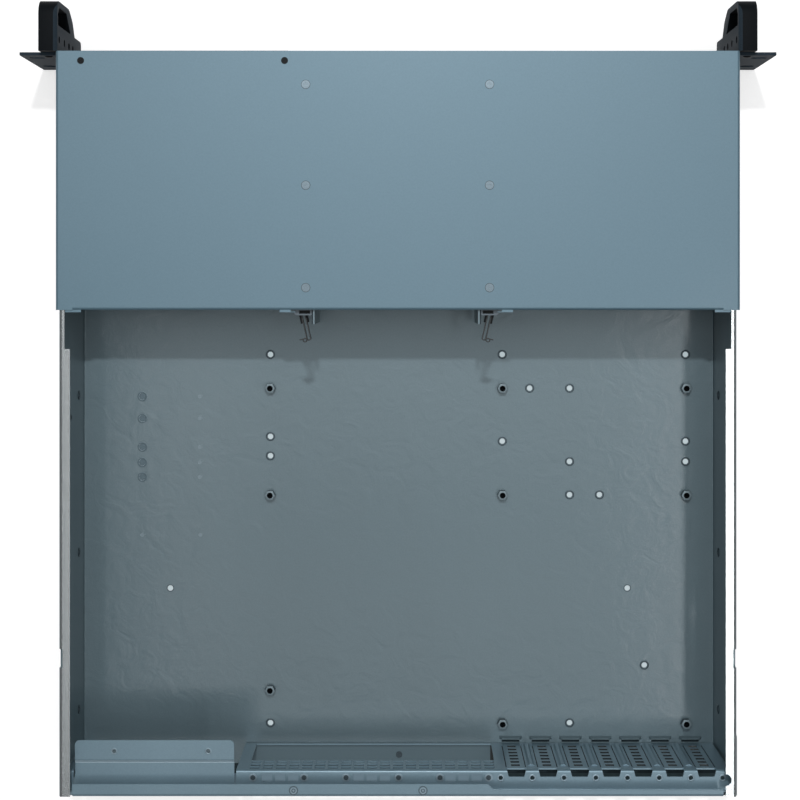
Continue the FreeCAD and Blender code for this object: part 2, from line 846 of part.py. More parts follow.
def side_vents(near, far):
    """Upright slots above and below the controls."""
    middle = control_x - housing_left + housing_width / 2.0
    start = middle - side_vent_pitch * (side_vent_count - 1) / 2.0
    rows = (control_z - side_vent_offset, control_z + side_vent_offset)
    return [window_y(start + side_vent_pitch * k, z, side_vent_width, side_vent_height, near, far)
            for k in range(side_vent_count) for z in rows]


def intake_grille():
    """Slotted plate over the intake opening, a little proud of the panel."""
    front = front_y - intake_proud
    plate = box(intake_left, intake_right, front, front_y, intake_sill, intake_top)
    start = intake_left + intake_slot_margin
    pitch = (intake_right - intake_slot_margin - start) / intake_slot_count
    middle = (intake_sill + intake_top) / 2.0
    height = intake_top - intake_sill - 2.0 * intake_slot_border
    slots = [window_y(start + pitch * (k + 0.5), middle, intake_slot_width, height, front - 1.0,
                      front_y + 1.0) for k in range(intake_slot_count)]
    return cut_all(plate, slots)


def bay_cover(k):
    """Snap-in cover of one 3.5-inch bay: shallow tray open at the back, with a finger groove."""
    half = bay_cover_width / 2.0
    low = bay_sill + bay_cover_height * k
    high = low + bay_cover_height - slip_gap
    wall = bay_cover_wall
    body = box(cage_centre_x - half, cage_centre_x + half, front_y, front_y + bay_cover_depth, low, high)
    hollow = box(cage_centre_x - half + wall, cage_centre_x + half - wall, front_y + wall + 0.4,
                 front_y + bay_cover_depth + 1.0, low + wall, high - wall)
    groove = window_y(cage_centre_x, (low + high) / 2.0, finger_groove_length, finger_groove_width,
                      front_y - 1.0, front_y + wall / 2.0)
    return body.cut(hollow).cut(groove)


def control_housing():
    """Moulded housing behind the panel that guides the buttons and carries lenses and sockets."""
    left = control_x - housing_left
    body = box(left, left + housing_width, panel_back_y, panel_back_y + housing_depth,
               control_z - housing_height / 2.0, control_z + housing_height / 2.0)
    cuts = button_bores(panel_back_y - 1.0, panel_back_y + button_bore_depth)
    cuts += [window_y(x, lens_z, lens_width, lens_height, panel_back_y - 1.0, front_y + lens_depth)
             for x in lens_places()]
    cuts += [window_y(x, control_z, usb_width, usb_height, panel_back_y - 1.0, front_y + usb_depth)
             for x in usb_places()]
    return cut_all(body, cuts)


def push_button(x, z, width, height, travel):
    """Button whose face stands proud by its travel; its tail has that much room behind it."""
    front = front_y - travel - slip_gap
    tail = panel_back_y + button_bore_depth - travel - slip_gap
    body = window_y(x, z, width, height, front, tail)
    rim = [edge for edge in body.Edges if abs(edge.CenterOfMass.y - front) < 0.01]
    return body.makeChamfer(button_crown, rim)


def indicator_lens(x):
    return window_y(x, lens_z, lens_width, lens_height, front_y - 0.4, front_y + lens_depth)


def usb_port(x):
    """Folded socket shell, closed at the back, with its contact tongue."""
    half = usb_width / 2.0 - usb_shell
    rise = usb_height / 2.0 - usb_shell
    back = front_y + usb_depth
    shell = window_y(x, control_z, usb_width, usb_height, front_y, back)
    cavity = box(x - half, x + half, front_y - 1.0, back - 1.0, control_z - rise, control_z + rise)
    tongue = box(x - half + 0.6, x + half - 0.6, front_y + 1.0, back - 0.5, control_z + 0.2, control_z + 2.0)
    return join_all(shell.cut(cavity), [tongue])


# ---------------------------------------------------------------- ears and handles

def rack_ear(side):
    """L-shaped ear: slotted plate at the front, leg along the tray wall below the cover's skirt."""
    inner = half_width
    path = [(inner, front_y + ear_leg), (inner, front_y), (ear_half, front_y)]
    ear = bent_sheet(path, ear_sheet, "Z", 0.0, ear_height, 1.0)
    cuts = [box(inner - 1.0, cover_half_width + slip_gap, front_y + ear_sheet + slip_gap,
                front_y + ear_leg + 1.0, case_height - cover_skirt - slip_gap, ear_height + 1.0)]
    for offset in (-rack_unit / 2.0, rack_unit / 2.0):
        cuts.append(rack_slot(panel_height / 2.0 + offset))
    ear = cut_all(ear, cuts)
    return ear if side > 0 else mirror_x(ear)


def rack_slot(z):
    """Round-ended slot of the rack standard."""
    x = ear_half - rack_slot_inset
    radius = rack_slot_width / 2.0
    flat = rack_slot_length / 2.0 - radius
    near = front_y - 1.0
    far = front_y + ear_sheet + 1.0
    middle = window_y(x, z, 2.0 * flat, rack_slot_width, near, far)
    return join_all(middle, [hole_y(x + end * flat, z, radius, near, far) for end in (-1, 1)])


def handle(side):
    """One cast piece: base block against the ear and a D grip in front of it."""
    left = handle_left_x
    right = left + handle_thickness
    base_y = front_y - handle_base_depth
    tip_y = front_y - handle_reach
    top = panel_height
    grip_z = top - handle_grip_height
    knee = (base_y - handle_knee_reach, grip_z + handle_knee_rise)
    chin = (tip_y, grip_z + handle_chin_rise)
    outline = [(front_y, 0.0), (base_y, 0.0), (base_y, grip_z), knee, chin, (tip_y, top), (front_y, top)]
    body = prism(outline, "X", left, right)
    body = round_edges(body, [(tip_y, top)], handle_top_rounding)
    body = round_edges(body, [(base_y, 0.0)], 2.0)
    body = round_edges(body, [chin, knee], 4.0)
    body = body.cut(finger_hole(left - 1.0, right + 1.0, base_y, tip_y))
    screw_row = front_y - handle_hole_inset
    cuts = [small_hole("X", screw_row, top - drop, handle_hole_radius, left - 1.0, left + handle_hole_depth)
            for drop in handle_hole_drops]
    body = cut_all(body, cuts)
    return body if side > 0 else mirror_x(body)


def finger_hole(left, right, base_y, tip_y):
    """The finger hole follows the grip's outline one bar width inside it."""
    back = base_y - 0.2
    front = tip_y + handle_bar
    roof = panel_height - handle_top_bar
    grip_z = panel_height - handle_grip_height
    heel = (back, grip_z + finger_heel_rise)
    toe = (front, grip_z + finger_toe_rise)
    shoulder = (front, roof - handle_bar)
    outline = [heel, toe, shoulder, (front + handle_bar, roof), (back, roof)]
    hole = prism(outline, "X", left, right)
    return round_edges(hole, [heel, toe, (back, roof)], 2.0)


# ---------------------------------------------------------------- write every node

def main():
    os.makedirs("parts", exist_ok=True)
    save("chassis_tray", chassis_tray())
    save("standoffs", standoffs())
    save("rear_panel", rear_panel())
    save("psu_hold_down_plate", psu_hold_down_plate())
    save("front_cover", front_cover())
    for name, side in (("left", -1), ("right", 1)):
        save("cage_plate_" + name, cage_plate(side))
        save("latch_bracket_" + name, latch_bracket(side))
        save("latch_pin_" + name, latch_pin(side))
        save("latch_hub_" + name, latch_hub(side))
        save("latch_lever_" + name, latch_lever(side))
        save("rack_ear_" + name, rack_ear(side))
        save("handle_" + name, handle(side))
    save("front_panel", front_panel())
    save("intake_grille", intake_grille())
    for k in range(bay_count):
        save("bay_cover_" + str(k + 1), bay_cover(k))
    save("control_housing", control_housing())
    save("power_button", push_button(power_x, control_z, power_button_width, power_button_height,
                                     power_button_travel))
    save("reset_button", push_button(reset_x, reset_z, reset_button_width, reset_button_height,
                                     reset_button_travel))
    for name, x in zip(("power_lens", "drive_lens", "network_lens"), lens_places()):
        save(name, indicator_lens(x))
    for k, x in enumerate(usb_places()):
        save("usb_port_" + str(k + 1), usb_port(x))


main()
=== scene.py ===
import bpy
import math
from mathutils import Matrix, Vector


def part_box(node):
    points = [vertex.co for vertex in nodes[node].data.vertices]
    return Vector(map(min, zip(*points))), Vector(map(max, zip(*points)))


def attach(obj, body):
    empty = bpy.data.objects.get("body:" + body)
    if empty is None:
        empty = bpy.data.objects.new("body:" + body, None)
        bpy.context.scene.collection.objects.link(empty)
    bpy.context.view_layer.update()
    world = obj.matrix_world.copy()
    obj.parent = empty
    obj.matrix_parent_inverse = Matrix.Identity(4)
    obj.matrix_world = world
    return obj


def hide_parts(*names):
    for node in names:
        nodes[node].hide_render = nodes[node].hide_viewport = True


# The looks of an empty rackmount server case, its rear lid off. Metres, in the frame of the solids:
# +X to the right seen from the front, +Y to the rear, +Z up, floor at zero.

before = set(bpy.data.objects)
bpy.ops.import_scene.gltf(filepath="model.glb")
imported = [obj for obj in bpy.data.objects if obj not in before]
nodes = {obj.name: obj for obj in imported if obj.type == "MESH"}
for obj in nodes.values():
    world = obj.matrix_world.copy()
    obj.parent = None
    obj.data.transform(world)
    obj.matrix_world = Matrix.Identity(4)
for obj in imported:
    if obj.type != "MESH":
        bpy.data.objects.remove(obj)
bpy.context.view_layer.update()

mm = 0.001


# ---------------------------------------------------------------- measures taken from the solids

_, tray_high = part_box("chassis_tray")
cover_low, cover_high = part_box("front_cover")
_, panel_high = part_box("rear_panel")
front_low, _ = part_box("front_panel")
plate_low, plate_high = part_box("psu_hold_down_plate")
_, stand_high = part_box("standoffs")

tray_sheet = 1.2 * mm
rear_sheet = 1.0 * mm
plate_sheet = 1.2 * mm
wall_y = tray_high.y - 14.0 * mm
shelf_top = plate_high.z - 9.0 * mm
slot_start = -65.76 * mm
slot_pitch = 20.32 * mm
slot_field_edge = -62.0 * mm
cage_x = 1.0 * mm

# the board's hole grid, counted from its left column to the right and from its front row to the rear
standoff_reach = 3.58 * mm
board_x = stand_high.x - standoff_reach
board_y = -1.93 * mm
board_columns = (0.0, 157.48 * mm, 281.94 * mm)
small_board_column = 203.2 * mm
board_middle_row = 72.39 * mm
board_jog_row = 204.47 * mm
board_rear_row = 227.33 * mm
bracket_rows = (5.6 * mm, 20.5 * mm, 39.9 * mm, 50.4 * mm, 60.3 * mm)
bracket_column = -87.0 * mm


def on_board(column, row, z=tray_sheet):
    """A spot of the board's hole grid, on the floor of the tray."""
    return board_x - column, board_y + row, z


# ---------------------------------------------------------------- camera and light

def make_camera():
    """Looks straight down from above the rear edge of the cover, with the front at the top of the view."""
    data = bpy.data.cameras.new("camera")
    data.sensor_width = 36.0
    data.lens = 84.56
    data.shift_x = -0.0149
    data.shift_y = -0.1375
    data.clip_end = 20.0
    camera = bpy.data.objects.new("camera", data)
    camera.location = (-0.0089, -0.0686, 1.278)
    camera.rotation_euler = (0.0, 0.0, math.pi)
    bpy.context.scene.collection.objects.link(camera)
    bpy.context.scene.camera = camera


def area_light(name, place, aim, width, depth, power):
    data = bpy.data.lights.new(name, "AREA")
    data.shape = "RECTANGLE"
    data.size = width
    data.size_y = depth
    data.energy = power
    lamp = bpy.data.objects.new(name, data)
    lamp.location = place
    lamp.rotation_euler = (Vector(aim) - Vector(place)).to_track_quat("-Z", "Y").to_euler()
    bpy.context.scene.collection.objects.link(lamp)


def make_lights():
    """A key lamp and a softbox above the front, two weak fills and three strips that the sheets reflect."""
    area_light("key", (0.0, -0.95, 2.3), (0.0, 0.0, 0.0), width=0.10, depth=0.06, power=18.0)
    area_light("softbox", (0.0, -0.60, 2.0), (0.0, -0.3, 0.0), width=2.4, depth=1.0, power=10.0)
    area_light("overhead_fill", (0.0, 0.10, 2.2), (0.0, 0.10, 0.0), width=0.9, depth=0.4, power=1.4)
    area_light("rear_fill", (0.0, 0.62, 2.2), (0.0, 0.30, 0.0), width=0.8, depth=0.4, power=1.6)
    strip_y, strip_height = 0.38, 2.0
    strips = (("right_strip", -0.537, 0.10, 0.95, 3.3),
              ("left_strip", 0.51, 0.10, 0.95, 0.13),
              ("floor_strip", 0.40, 0.05, 0.75, 0.7))
    for name, x, width, depth, power in strips:
        area_light(name, (x, strip_y, strip_height), (x, strip_y, 0.0), width, depth, power)
    world = bpy.data.worlds.new("studio")
    world.use_nodes = True
    tree = world.node_tree
    tree.nodes.clear()
    out = tree.nodes.new("ShaderNodeOutputWorld")
    sky = tree.nodes.new("ShaderNodeBackground")
    sky.inputs["Color"].default_value = (0.95, 0.98, 1.0, 1.0)
    sky.inputs["Strength"].default_value = 0.13
    tree.links.new(sky.outputs[0], out.inputs["Surface"])
    bpy.context.scene.world = world


# ---------------------------------------------------------------- node helpers

def feed(tree, value, target):
    """Gives an input a constant, or a link where the value is another node's output."""
    if isinstance(value, bpy.types.NodeSocket):
        tree.links.new(value, target)
    else:
        target.default_value = value


def maths(tree, operation, *values):
    node = tree.nodes.new("ShaderNodeMath")
    node.operation = operation
    for value, target in zip(values, node.inputs):
        feed(tree, value, target)
    return node.outputs[0]


def noise(tree, place, scale, detail, roughness=0.5, distortion=0.0):
    node = tree.nodes.new("ShaderNodeTexNoise")
    node.inputs["Detail"].default_value = detail
    node.inputs["Roughness"].default_value = roughness
    node.inputs["Distortion"].default_value = distortion
    feed(tree, place, node.inputs["Vector"])
    feed(tree, scale, node.inputs["Scale"])
    return node.outputs["Fac"]


def spread(tree, value, low, high, from_low=0.0, from_high=1.0):
    """Maps a value from one span to another."""
    node = tree.nodes.new("ShaderNodeMapRange")
    node.inputs["From Min"].default_value = from_low
    node.inputs["From Max"].default_value = from_high
    node.inputs["To Min"].default_value = low
    node.inputs["To Max"].default_value = high
    feed(tree, value, node.inputs["Value"])
    return node.outputs[0]


def relief(tree, height, shader, strength, distance):
    """A bump that bends the shader's normal."""
    node = tree.nodes.new("ShaderNodeBump")
    node.inputs["Strength"].default_value = strength
    node.inputs["Distance"].default_value = distance
    tree.links.new(height, node.inputs["Height"])
    tree.links.new(node.outputs["Normal"], shader.inputs["Normal"])
    return node


def new_material(name):
    """A material with its node tree and the Principled shader in it."""
    mat = bpy.data.materials.new(name)
    mat.use_nodes = True
    return mat, mat.node_tree, mat.node_tree.nodes["Principled BSDF"]


def new_group(name, inputs, outputs):
    """An empty node group, with the nodes that hold its inputs and outputs."""
    group = bpy.data.node_groups.new(name, "ShaderNodeTree")
    for way, sockets in (("INPUT", inputs), ("OUTPUT", outputs)):
        for label, kind in sockets:
            group.interface.new_socket(name=label, in_out=way, socket_type="NodeSocket" + kind)
    return group, group.nodes.new("NodeGroupInput"), group.nodes.new("NodeGroupOutput")


# ---------------------------------------------------------------- floor

def floor_material(name, shade, colour, glow_strength):
    """Ground that glows a little to the eye and to bright metal, and keeps the case's shadow."""
    mat, tree, shader = new_material(name)
    shader.inputs["Base Color"].default_value = (*shade, 1.0)
    shader.inputs["Roughness"].default_value = 0.9
    shader.inputs["Specular IOR Level"].default_value = 0.1
    shader.inputs["Emission Color"].default_value = (*colour, 1.0)
    path = tree.nodes.new("ShaderNodeLightPath").outputs
    seen = maths(tree, "MAXIMUM", path["Is Camera Ray"], path["Is Glossy Ray"])
    seen = maths(tree, "MAXIMUM", seen, path["Is Transmission Ray"])
    glow = maths(tree, "MULTIPLY", seen, glow_strength)
    tree.links.new(glow, shader.inputs["Emission Strength"])
    return mat


def make_floor():
    drop = 0.2 * mm
    bpy.ops.mesh.primitive_plane_add(size=8.0, location=(0.0, 0.0, -drop))
    floor = bpy.context.object
    floor.name = "floor"
    bpy.ops.object.transform_apply(location=True, rotation=True, scale=True)
    floor.data.materials.append(floor_material("pale_floor", (0.62, 0.62, 0.62), (1.0, 1.0, 1.0), 0.68))


def make_card(name, low, high, shade, glow_strength=0.0):
    """A card on the floor, seen from above only through the openings of the case; its colour and glow paint the
    light and shadow that the ground shows there.
    """
    drop = 0.1 * mm
    middle = ((low[0] + high[0]) / 2.0, (low[1] + high[1]) / 2.0, -drop)
    bpy.ops.mesh.primitive_plane_add(size=1.0, location=middle)
    card = bpy.context.object
    card.name = name
    card.scale = (high[0] - low[0], high[1] - low[1], 1.0)
    bpy.ops.object.transform_apply(location=True, rotation=True, scale=True)
    card.data.materials.append(floor_material(name, shade, (0.80, 0.95, 1.0), glow_strength))


def make_cards():
    """Painted light and shadow on the ground: a glowing card under the holes of the tray, and three cards
    without glow behind the rear wall's openings, which paint the shadow there.
    """
    side, grille_y, window_y, rear_y = 0.230, 0.2345, 0.2600, 0.2750
    # the glowing card paints light under the tray's holes; the other three paint shadow behind the rear wall
    make_card("painted_light_under_card", (-0.2, -0.19), (0.2, 0.234), (0.25, 0.27, 0.28), glow_strength=0.46)
    make_card("painted_shadow_grille_card", (-side, grille_y), (side, window_y), (0.03, 0.045, 0.052))
    make_card("painted_shadow_vent_card", (-side, window_y), (slot_field_edge, rear_y), (0.06, 0.09, 0.10))
    make_card("painted_shadow_shelf_card", (slot_field_edge, window_y), (side, rear_y), (0.24, 0.34, 0.41))


# ---------------------------------------------------------------- finishes

def zinc_grain_group():
    """Frosted grain of zinc plating: a drifting tone, faint rolling lines and fine pitting."""
    group, give, take = new_group(
        "zinc_grain",
        (("Colour", "Color"), ("Cloud Scale", "Float"), ("Cloud Depth", "Float"), ("Roughness", "Float"),
         ("Crinkle", "Float")),
        (("Colour", "Color"), ("Roughness", "Float"), ("Height", "Float")))
    link = group.links.new
    place = group.nodes.new("ShaderNodeTexCoord").outputs["Object"]

    stretch = group.nodes.new("ShaderNodeMapping")
    stretch.inputs["Scale"].default_value = (1.0, 0.16, 1.0)
    link(place, stretch.inputs["Vector"])
    cloud = noise(group, stretch.outputs[0], give.outputs["Cloud Scale"], detail=4.0, roughness=0.6)
    grain = noise(group, place, 900.0, detail=3.0, roughness=0.7)
    crinkle = noise(group, place, 70.0, detail=3.0, roughness=0.55, distortion=1.2)

    drift = spread(group, cloud, -1.0, 1.0, from_low=0.3, from_high=0.7)
    depth = maths(group, "MULTIPLY", drift, give.outputs["Cloud Depth"])
    speck = spread(group, grain, 0.955, 1.045, from_low=0.3, from_high=0.7)
    tone = maths(group, "ADD", depth, speck)
    shade = group.nodes.new("ShaderNodeVectorMath")
    shade.operation = "SCALE"
    link(give.outputs["Colour"], shade.inputs[0])
    link(tone, shade.inputs["Scale"])
    link(shade.outputs[0], take.inputs["Colour"])

    rough_by_tone, pits = 0.5, 0.12
    link(maths(group, "MULTIPLY_ADD", depth, rough_by_tone, give.outputs["Roughness"]),
         take.inputs["Roughness"])
    fold = maths(group, "MULTIPLY", crinkle, give.outputs["Crinkle"])
    link(maths(group, "MULTIPLY_ADD", grain, pits, fold), take.inputs["Height"])
    return group


def box_mask_group():
    """One inside a box given in the object's own coordinates, nought outside."""
    group, give, take = new_group("box_mask", (("Low", "Vector"), ("High", "Vector")), (("Mask", "Float"),))
    place = group.nodes.new("ShaderNodeTexCoord").outputs["Object"]
    corners = []
    for source in (place, give.outputs["Low"], give.outputs["High"]):
        split = group.nodes.new("ShaderNodeSeparateXYZ")
        group.links.new(source, split.inputs[0])
        corners.append(split.outputs)
    inside = None
    for here, low, high in zip(*corners):
        for test in (maths(group, "GREATER_THAN", here, low), maths(group, "LESS_THAN", here, high)):
            inside = test if inside is None else maths(group, "MULTIPLY", inside, test)
    group.links.new(inside, take.inputs["Mask"])
    return group


zinc_grain = zinc_grain_group()
box_mask = box_mask_group()


def zone(low, high, colour, roughness, metallic, bump):
    """A box of a sheet, in the object's own coordinates, with its own colour, roughness, metal and bump, which
    paint shade and highlights.
    """
    return low, high, {"Base Color": (*colour, 1.0), "Roughness": roughness, "Metallic": metallic,
                       "Strength": bump}


def sheet_material(name, colour, roughness, metallic, cloud_scale, cloud_depth, bump, crinkle, coat,
                   zones=()):
    """Zinc-plated steel sheet under a thin passivated film, with zones of painted shade and painted highlight.
    """
    mat, tree, shader = new_material(name)
    grain = tree.nodes.new("ShaderNodeGroup")
    grain.node_tree = zinc_grain
    grain.inputs["Colour"].default_value = (*colour, 1.0)
    grain.inputs["Roughness"].default_value = roughness
    grain.inputs["Cloud Scale"].default_value = cloud_scale
    grain.inputs["Cloud Depth"].default_value = cloud_depth
    grain.inputs["Crinkle"].default_value = crinkle
    shader.inputs["Coat Weight"].default_value = coat
    shader.inputs["Coat Roughness"].default_value = 0.16
    bumps = relief(tree, grain.outputs["Height"], shader, bump, 0.22 * mm)
    tree.links.new(bumps.outputs["Normal"], shader.inputs["Coat Normal"])
    finish = {"Base Color": grain.outputs["Colour"], "Roughness": grain.outputs["Roughness"],
              "Metallic": metallic, "Strength": bump}
    # each zone mixes in the colours of its painted shade and highlight
    for low, high, painted_look in zones:
        mask = tree.nodes.new("ShaderNodeGroup")
        mask.node_tree = box_mask
        mask.inputs["Low"].default_value = low
        mask.inputs["High"].default_value = high
        for key, value in painted_look.items():
            mix = tree.nodes.new("ShaderNodeMix")
            # the mix node's sockets for a number, or for a colour
            plain, own, mixed = 2, 3, 0
            if key == "Base Color":
                mix.data_type = "RGBA"
                plain, own, mixed = 6, 7, 2
            tree.links.new(mask.outputs["Mask"], mix.inputs[0])
            feed(tree, finish[key], mix.inputs[plain])
            mix.inputs[own].default_value = value
            finish[key] = mix.outputs[mixed]
    for key, value in finish.items():
        feed(tree, value, (bumps if key == "Strength" else shader).inputs[key])
    return mat


coating_pits = 0.05 * mm
metal_pits = 0.03 * mm


def grained_material(name, colour, roughness, metallic, scale, depth, bump, distance=metal_pits,
                     specular=0.5):
    """A plain finish with an even fine grain: powder coat, moulded plastic or tempered strip."""
    mat, tree, shader = new_material(name)
    shader.inputs["Metallic"].default_value = metallic
    shader.inputs["Specular IOR Level"].default_value = specular
    grain = noise(tree, tree.nodes.new("ShaderNodeTexCoord").outputs["Object"], scale, detail=3.0)
    ramp = tree.nodes.new("ShaderNodeValToRGB")
    dark, light = ramp.color_ramp.elements
    dark.position = 0.3
    light.position = 0.7
    dark.color = (*[c * (1.0 - depth) for c in colour], 1.0)
    light.color = (*[c * (1.0 + depth) for c in colour], 1.0)
    tree.links.new(grain, ramp.inputs["Fac"])
    tree.links.new(ramp.outputs["Color"], shader.inputs["Base Color"])
    roughness_swing = 0.06
    tree.links.new(spread(tree, grain, roughness - roughness_swing, roughness + roughness_swing),
                   shader.inputs["Roughness"])
    relief(tree, grain, shader, bump, distance)
    return mat


def flange_highlight_zones():
    """The tops of the side flanges with a painted highlight: lighter, smoother and more metallic than the rest
    of the tray.
    """
    inner, top, beyond, over = tray_high.x - 7.2 * mm, tray_high.z - 0.5 * mm, 0.3, 0.09
    # a lighter colour painted on the flange tops as a highlight
    return [zone((low, -beyond, top), (high, beyond, over), (0.42, 0.45, 0.46), roughness=0.2, metallic=0.8,
                 bump=0.06)
            for low, high in ((-beyond, -inner), (inner, beyond))]


def panel_zones():
    """Painted shade on the floor of the recess behind the wall and on the edges of the vents, and a painted
    highlight along the bend of the plate.
    """
    shaded = {"roughness": 0.55, "metallic": 0.2, "bump": 0.3}
    foot_y, foot_end, foot_top = wall_y + 1.3 * mm, 0.26, 3.5 * mm
    bend_y = plate_low.y + 12.1 * mm
    return [
        # painted shade on the floor of the recess, darkest behind the slots
        zone((slot_field_edge, foot_y, 0.0), (0.104, foot_end, foot_top), (0.10, 0.16, 0.19), **shaded),
        zone((-0.22, foot_y, 0.0), (slot_field_edge, foot_end, foot_top), (0.012, 0.018, 0.02), **shaded),
        # painted shade on the edges of the vents
        zone((-0.205, wall_y + 0.03 * mm, 8.0 * mm),
             (slot_field_edge, wall_y + rear_sheet - 0.02 * mm, 68.0 * mm),
             (0.008, 0.013, 0.015), **shaded),
        # painted highlight along the bend of the plate
        zone((0.100, bend_y, shelf_top - 0.5 * mm), (0.207, bend_y + 2.4 * mm, shelf_top + 1.1 * mm),
             (0.50, 0.64, 0.72), roughness=0.3, metallic=0.35, bump=0.1)]


cover_zinc = sheet_material(
    "cover_zinc", (0.124, 0.216, 0.275), roughness=0.45, metallic=0.25, cloud_scale=6.0, cloud_depth=0.03,
    bump=0.6, crinkle=0.25, coat=0.15)
tray_zinc = sheet_material(
    "tray_zinc", (0.120, 0.177, 0.204), roughness=0.42, metallic=0.35, cloud_scale=7.0, cloud_depth=0.08,
    bump=0.8, crinkle=1.0, coat=0.4, zones=flange_highlight_zones())
panel_zinc = sheet_material(
    "panel_zinc", (0.190, 0.290, 0.352), roughness=0.40, metallic=0.35, cloud_scale=14.0, cloud_depth=0.05,
    bump=0.6, crinkle=0.3, coat=0.15, zones=panel_zones())
latch_zinc = sheet_material(
    "latch_zinc", (0.075, 0.100, 0.120), roughness=0.40, metallic=0.4, cloud_scale=14.0, cloud_depth=0.05,
    bump=0.6, crinkle=0.3, coat=0.2)

black_coat = grained_material(
    "black_coat", (0.030, 0.044, 0.058), roughness=0.6, metallic=0.0, scale=2400.0, depth=0.25, bump=0.3,
    distance=coating_pits, specular=0.04)
# the handles' tops and fronts, darkened as painted shade beside their lighter flanks
painted_shade_black = grained_material(
    "painted_shade_black", (0.006, 0.008, 0.010), roughness=0.6, metallic=0.0, scale=2400.0, depth=0.25, bump=0.3,
    distance=coating_pits, specular=0.08)
black_moulding = grained_material(
    "black_moulding", (0.008, 0.010, 0.012), roughness=0.5, metallic=0.0, scale=1800.0, depth=0.2, bump=0.2,
    distance=coating_pits, specular=0.15)
spring_strip = grained_material(
    "spring_strip", (0.026, 0.030, 0.032), roughness=0.4, metallic=0.5, scale=1500.0, depth=0.2, bump=0.15)
bright_steel = grained_material(
    "bright_steel", (0.165, 0.225, 0.265), roughness=0.36, metallic=0.4, scale=1500.0, depth=0.12, bump=0.15)
# steel darkened as painted shade, for hole rims, screw seats, rivets, the dimples' cores and the stand-offs'
# flanks
painted_shade_steel = grained_material(
    "painted_shade_steel", (0.060, 0.085, 0.100), roughness=0.4, metallic=0.5, scale=1500.0, depth=0.2, bump=0.2,
    specular=0.3)
bright_zinc = grained_material(
    "bright_zinc", (0.26, 0.35, 0.41), roughness=0.35, metallic=0.6, scale=1500.0, depth=0.12, bump=0.15)
worn_zinc = grained_material(
    "worn_zinc", (0.100, 0.150, 0.178), roughness=0.45, metallic=0.35, scale=1200.0, depth=0.15, bump=0.15)
# a lighter steel: on the stand-offs' crowns it is painted light beside their darker flanks
crown_steel = grained_material(
    "crown_steel", (0.19, 0.25, 0.28), roughness=0.5, metallic=0.4, scale=1500.0, depth=0.15, bump=0.15)
hole_shadow = grained_material(
    "hole_shadow", (0.004, 0.006, 0.008), roughness=0.7, metallic=0.0, scale=1200.0, depth=0.2, bump=0.1,
    specular=0.1)
frosted_lens = grained_material(
    "frosted_lens", (0.75, 0.80, 0.78), roughness=0.35, metallic=0.0, scale=900.0, depth=0.05, bump=0.1)


def dress_solids():
    """Gives each solid its finish."""
    finishes = [
        (cover_zinc, ["front_cover"]),
        (tray_zinc, ["chassis_tray", "cage_plate_left", "cage_plate_right"]),
        (panel_zinc, ["rear_panel", "psu_hold_down_plate"]),
        (latch_zinc, ["latch_bracket_left", "latch_bracket_right"]),
        (spring_strip, ["latch_lever_left", "latch_lever_right"]),
        (bright_steel, ["standoffs", "latch_pin_left", "latch_pin_right", "usb_port_1", "usb_port_2"]),
        (black_coat, ["front_panel", "intake_grille", "rack_ear_left", "rack_ear_right", "handle_left",
                      "handle_right"]),
        (black_moulding, ["control_housing", "power_button", "reset_button", "bay_cover_1", "bay_cover_2",
                          "bay_cover_3", "latch_hub_left", "latch_hub_right"]),
        (frosted_lens, ["power_lens", "drive_lens", "network_lens"])]
    for finish, names in finishes:
        for name in names:
            materials = nodes[name].data.materials
            materials.clear()
            materials.append(finish)


# ---------------------------------------------------------------- modelling helpers

def clear_selection():
    if bpy.context.object is not None and bpy.context.object.mode != "OBJECT":
        bpy.ops.object.mode_set(mode="OBJECT")
    bpy.ops.object.select_all(action="DESELECT")


def make_active(piece):
    bpy.ops.object.select_all(action="DESELECT")
    piece.select_set(True)
    bpy.context.view_layer.objects.active = piece


def pick_faces(piece, wanted):
    """Goes into edit mode with only those faces selected that the test accepts."""
    bpy.ops.object.mode_set(mode="OBJECT")
    bpy.context.tool_settings.mesh_select_mode = (False, False, True)
    for part in (piece.data.vertices, piece.data.edges):
        for item in part:
            item.select = False
    for face in piece.data.polygons:
        face.select = wanted(face)
    bpy.ops.object.mode_set(mode="EDIT")


def apply_modifier(piece, kind, **values):
    modifier = piece.modifiers.new(kind.lower(), kind)
    for key, value in values.items():
        setattr(modifier, key, value)
    bpy.ops.object.modifier_apply(modifier=modifier.name)


def shade_by_angle(angle):
    bpy.ops.object.shade_smooth_by_angle(angle=math.radians(angle))


def round_off(piece, width, segments=2, angle=35.0):
    """Rounds every edge sharper than the angle and shades the result."""
    apply_modifier(piece, "BEVEL", width=width, segments=segments, limit_method="ANGLE",
                   angle_limit=math.radians(angle))
    shade_by_angle(40.0)


def combine(piece, other, operation):
    """Joins the other form to the piece or takes it out of it, and throws the other away."""
    make_active(piece)
    apply_modifier(piece, "BOOLEAN", object=other, operation=operation, solver="EXACT")
    bpy.data.objects.remove(other, do_unlink=True)


def cut_with(piece, cutter):
    combine(piece, cutter, "DIFFERENCE")


def settle(piece, name, body, material):
    """Ends a piece: its place goes into the mesh, it gets its name, finish and body."""
    bpy.ops.object.mode_set(mode="OBJECT")
    make_active(piece)
    bpy.ops.object.transform_apply(location=True, rotation=True, scale=True)
    piece.name = name
    if not piece.data.materials:
        piece.data.materials.append(material)
    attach(piece, body)


def twin(piece, name, move, body):
    """A copy with its own mesh, moved or mirrored by a matrix."""
    made = piece.copy()
    made.data = piece.data.copy()
    made.name = name
    made.parent = None
    made.data.transform(move)
    if move.determinant() < 0.0:
        made.data.flip_normals()
    bpy.context.scene.collection.objects.link(made)
    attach(made, body)
    return made


